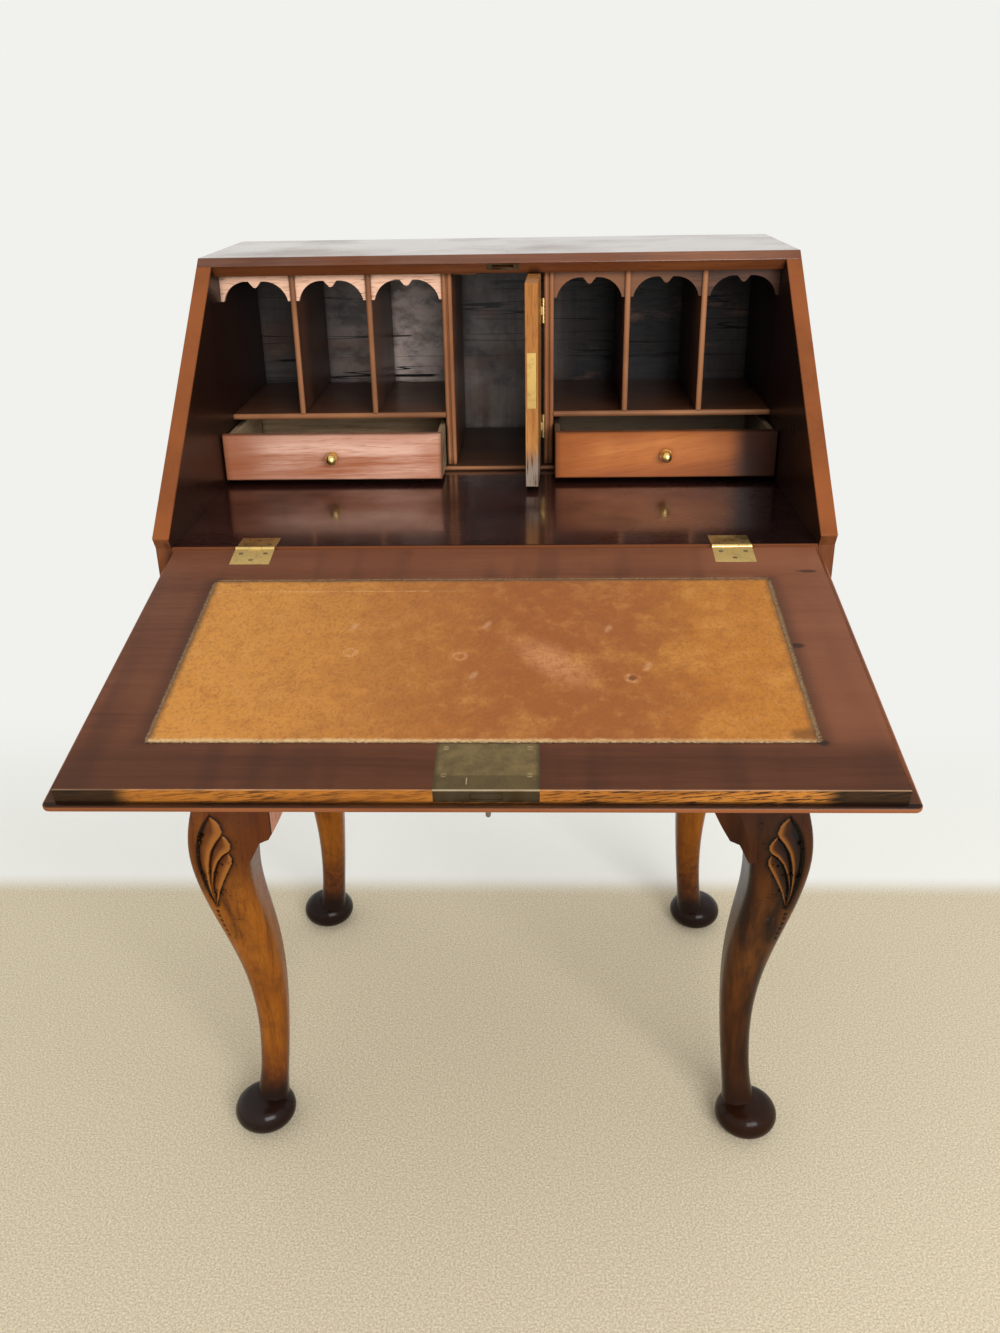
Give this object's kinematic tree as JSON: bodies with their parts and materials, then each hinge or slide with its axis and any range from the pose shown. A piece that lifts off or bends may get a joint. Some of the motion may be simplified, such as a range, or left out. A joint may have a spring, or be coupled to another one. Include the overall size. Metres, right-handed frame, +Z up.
{
  "type": "fall-front writing bureau",
  "caption": "Small antique fall-front writing bureau on cabriole legs, shown open, with pigeonholes, drawers, a cupboard and a suede writing surface.",
  "frame": {"origin": "on the floor, under the middle of the open bureau's bounding box", "axes": "+Z up, the front faces -Y, +X towards the right side as seen from the front"},
  "size_m": [0.6642, 0.8078, 0.99],
  "materials": {
    "case_mahogany": "old french polish, satin to gloss",
    "dark_mahogany": "dark gloss polish",
    "fall_mahogany": "satin polish",
    "fitting_mahogany": "satin polish",
    "dark_oak": "unpolished, dark with age",
    "pale_oak": "waxed",
    "brass": "polished, a little worn",
    "old_brass": "tarnished",
    "old_steel": "dull",
    "suede": "napped, worn"
  },
  "bodies": {
    "case": {"side_left": "case_mahogany", "side_right": "case_mahogany", "top_board": "case_mahogany", "back_boards": "dark_oak", "writing_bed": "dark_mahogany", "case_bottom": "dark_oak", "bottom_rail": "case_mahogany", "front_stiles": "case_mahogany", "frieze_rail": "case_mahogany", "guide_boards": "dark_oak", "loper_runners": "dark_oak", "loper_kickers": "dark_oak", "drawer_runners": "dark_oak", "leg_front_left": "case_mahogany", "leg_front_right": "case_mahogany", "leg_rear_left": "case_mahogany", "leg_rear_right": "case_mahogany", "leg_ears": "case_mahogany", "fittings_base": "fitting_mahogany", "shelves": "fitting_mahogany", "dividers": "fitting_mahogany", "valances": "fitting_mahogany", "upright_left": "fitting_mahogany", "upright_right": "fitting_mahogany", "door_stop": "pale_oak", "bed_hinge_leaves": "brass", "bed_hinge_screws": "brass", "door_post_leaves": "brass", "lock_keep": "old_brass"},
    "fall": {"fall_panel": "fall_mahogany", "writing_suede": "suede", "fall_hinge_leaves": "brass", "fall_hinge_pins": "brass", "fall_hinge_screws": "brass", "fall_lock": "old_brass", "fall_lock_screws": "old_brass", "key_escutcheon": "brass"},
    "lock_bolt": {"fall_lock_bolt": "old_brass"},
    "key": {"fall_key": "old_steel"},
    "door": {"door_panel": "pale_oak", "door_lock": "brass", "door_hinge_leaves": "brass", "door_hinge_pins": "brass"},
    "left_drawer": {"left_drawer_front": "fitting_mahogany", "left_drawer_sides": "dark_oak", "left_drawer_back": "dark_oak", "left_drawer_bottom": "dark_oak", "left_drawer_knob": "brass"},
    "right_drawer": {"right_drawer_front": "fitting_mahogany", "right_drawer_sides": "dark_oak", "right_drawer_back": "dark_oak", "right_drawer_bottom": "dark_oak", "right_drawer_knob": "brass"},
    "long_drawer": {"long_drawer_front": "case_mahogany", "long_drawer_sides": "dark_oak", "long_drawer_back": "dark_oak", "long_drawer_bottom": "dark_oak", "long_drawer_knobs": "brass"},
    "loper_left": {"loper_left": "case_mahogany"},
    "loper_right": {"loper_right": "case_mahogany"}
  },
  "joints": [
    {"name": "fall_hinge", "type": "hinge", "parent": "case", "child": "fall", "pos_m": [0, -0.06507, 0.754], "axis": [-1, 0, 0], "range_deg": [0, 150.52]},
    {"name": "door_hinge", "type": "hinge", "parent": "case", "child": "door", "pos_m": [0.0495, 0.21213, 0.865], "axis": [0, 0, 1], "range_deg": [-88, 0]},
    {"name": "left_drawer_slide", "type": "slide", "parent": "case", "child": "left_drawer", "axis": [0, -1, 0], "range_m": [-0.066, 0.08]},
    {"name": "right_drawer_slide", "type": "slide", "parent": "case", "child": "right_drawer", "axis": [0, -1, 0], "range_m": [-0.066, 0.08]},
    {"name": "long_drawer_slide", "type": "slide", "parent": "case", "child": "long_drawer", "axis": [0, -1, 0], "range_m": [0, 0.235]},
    {"name": "loper_left_slide", "type": "slide", "parent": "case", "child": "loper_left", "axis": [0, 1, 0], "range_m": [0, 0.1525]},
    {"name": "loper_right_slide", "type": "slide", "parent": "case", "child": "loper_right", "axis": [0, 1, 0], "range_m": [0, 0.1525]},
    {"name": "key_turn", "type": "hinge", "parent": "fall", "child": "key", "pos_m": [0.0065, -0.37779, 0.69661], "axis": [0, -0.1805, 0.9836], "range_deg": [0, 90]},
    {"name": "bolt_slide", "type": "slide", "parent": "fall", "child": "lock_bolt", "axis": [0, -0.9836, -0.1805], "range_m": [0, 0.008]}
  ],
  "couplings": [
    {"joint": "door_hinge", "follows": "fall_hinge", "ratio": -0.58396},
    {"joint": "bolt_slide", "follows": "key_turn", "m_per_rad": 0.00509}
  ]
}
